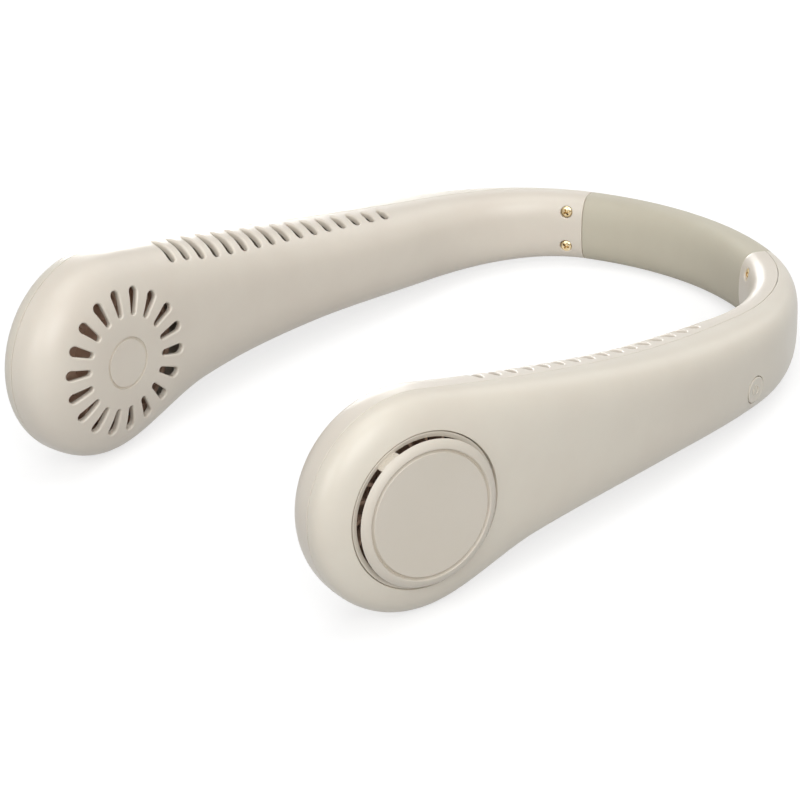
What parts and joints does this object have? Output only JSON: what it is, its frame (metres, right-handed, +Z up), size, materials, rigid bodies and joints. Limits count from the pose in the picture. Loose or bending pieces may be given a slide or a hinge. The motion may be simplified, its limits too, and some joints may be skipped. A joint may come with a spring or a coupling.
{
  "type": "electric neck fan",
  "caption": "Neck-worn fan: hollow arms on a bendable silicone band, with a bladed impeller behind a radial grille in each round end and a row of outlet slots along each arm.",
  "frame": {"origin": "middle of the underside of the fan's box, on the surface that it rests on", "axes": "+Z up, +X to the wearer's left, -Y the way the wearer faces: the arms point to -Y and the band is at +Y. The arms slope, because it rests on both round ends and on the band."},
  "size_m": [0.1674, 0.2091, 0.06],
  "materials": {
    "outer_shell": "satin",
    "inner_shell": "satin",
    "intake_cover": "satin",
    "button": "satin",
    "silicone": "matte, moulded silicone",
    "steel": "plain",
    "spring_steel": "plain",
    "core_steel": "laminated",
    "brass_screws": "plated",
    "motor_base": "die cast",
    "bronze": "sintered",
    "copper_wire": "enamelled wire",
    "circuit_board": "solder mask",
    "switch_body": "plain",
    "usb_shell": "nickel plated",
    "magnet": "bonded ferrite",
    "impeller": "satin",
    "inner_plastic": "plain",
    "battery": "plastic sleeve",
    "foam": "open foam",
    "lead_wire": "insulation"
  },
  "bodies": {
    "right_arm": {"right_outer_shell": "outer_shell", "right_inner_shell": "inner_shell", "right_intake_cover": "intake_cover", "right_band_clamp": "steel", "right_band_screws": "brass_screws", "right_motor_base": "motor_base", "right_motor_screws": "steel", "right_motor_board": "circuit_board", "right_bearing": "bronze", "right_stator": "core_steel", "right_windings": "copper_wire", "right_duct_divider": "inner_plastic", "right_battery": "battery", "right_battery_pads": "foam", "right_fan_leads": "lead_wire"},
    "right_rotor": {"right_impeller": "impeller", "right_rotor_cup": "steel", "right_rotor_magnet": "magnet", "right_shaft": "steel"},
    "neckband": {"band_sleeve": "silicone", "band_spring_strip": "spring_steel", "band_wires": "lead_wire"},
    "left_arm": {"left_outer_shell": "outer_shell", "left_inner_shell": "inner_shell", "left_intake_cover": "intake_cover", "left_band_clamp": "steel", "left_band_screws": "brass_screws", "left_motor_base": "motor_base", "left_motor_screws": "steel", "left_motor_board": "circuit_board", "left_bearing": "bronze", "left_stator": "core_steel", "left_windings": "copper_wire", "left_duct_divider": "inner_plastic", "left_battery": "battery", "left_battery_pads": "foam", "left_fan_leads": "lead_wire", "push_switch": "switch_body", "main_board": "circuit_board", "board_screws": "steel", "usb_socket": "usb_shell"},
    "left_rotor": {"left_impeller": "impeller", "left_rotor_cup": "steel", "left_rotor_magnet": "magnet", "left_shaft": "steel"},
    "button": {"power_button": "button"}
  },
  "joints": [
    {"name": "band_flex", "type": "hinge", "parent": "right_arm", "child": "neckband", "pos_m": [0, 0.09789, 0.01042], "axis": [0, 0.1579, 0.9875], "range_deg": [-10, 30], "stiffness_Nm_per_rad": 2, "deforming": ["band_sleeve", "band_spring_strip", "band_wires"]},
    {"name": "band_twist", "type": "hinge", "parent": "neckband", "child": "left_arm", "pos_m": [0, 0.09789, 0.01042], "axis": [1, 0, 0], "range_deg": [-15, 15], "stiffness_Nm_per_rad": 2, "deforming": ["band_sleeve", "band_spring_strip", "band_wires"]},
    {"name": "right_fan_spin", "type": "hinge", "parent": "right_arm", "child": "right_rotor", "pos_m": [-0.06795, -0.07459, 0.03], "axis": [-0.9866, -0.1613, 0.0258], "continuous": true},
    {"name": "left_fan_spin", "type": "hinge", "parent": "left_arm", "child": "left_rotor", "pos_m": [0.06795, -0.07459, 0.03], "axis": [0.9866, -0.1613, 0.0258], "continuous": true},
    {"name": "button_press", "type": "slide", "parent": "left_arm", "child": "button", "axis": [-0.9899, -0.1401, 0.0224], "range_m": [0, 0.0005], "stiffness_N_per_m": 400}
  ]
}
